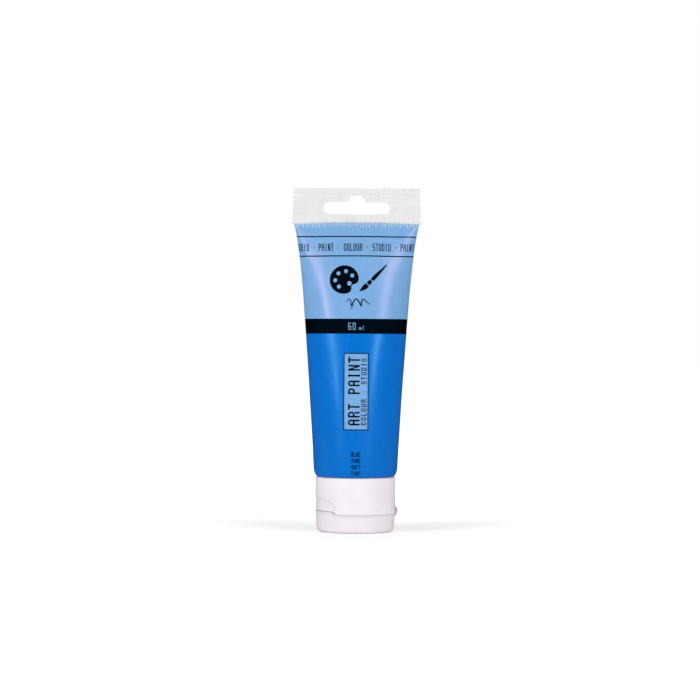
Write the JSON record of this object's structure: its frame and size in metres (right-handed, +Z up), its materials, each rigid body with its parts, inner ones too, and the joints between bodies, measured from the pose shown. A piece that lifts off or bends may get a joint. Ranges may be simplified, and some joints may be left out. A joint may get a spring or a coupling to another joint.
{
  "type": "paint tube",
  "caption": "Soft plastic squeeze tube of acrylic paint with a flat welded end, a hang slot and a flip-top cap that it stands on.",
  "frame": {"origin": "centre of the lid's flat resting face, on the tube's axis", "axes": "+Z up the tube to its welded end, X along the welded end, and the printed front faces -Y"},
  "size_m": [0.054, 0.035, 0.143],
  "materials": {
    "printed_sleeve": "satin",
    "natural_plastic": "satin",
    "foil": "satin",
    "paint": "gloss",
    "white_plastic": "satin"
  },
  "bodies": {
    "tube": {"sleeve": "printed_sleeve", "end_seal": "natural_plastic", "tube_head": "natural_plastic", "foil_seal": "foil", "paint": "paint"},
    "cap": {"cap_base": "white_plastic", "hinge_strap": "white_plastic", "hinge_films": "white_plastic"},
    "lid": {"cap_lid": "white_plastic"}
  },
  "joints": [
    {"name": "cap_turn", "type": "hinge", "parent": "tube", "child": "cap", "pos_m": [0, 0, 0.0228], "axis": [0, 0, 1], "continuous": true},
    {"name": "lid_hinge", "type": "hinge", "parent": "cap", "child": "lid", "pos_m": [0.01626, 0.00497, 0.00755], "axis": [0.2924, -0.9563, 0], "range_deg": [0, 180], "deforming": ["hinge_strap", "hinge_films"]}
  ]
}
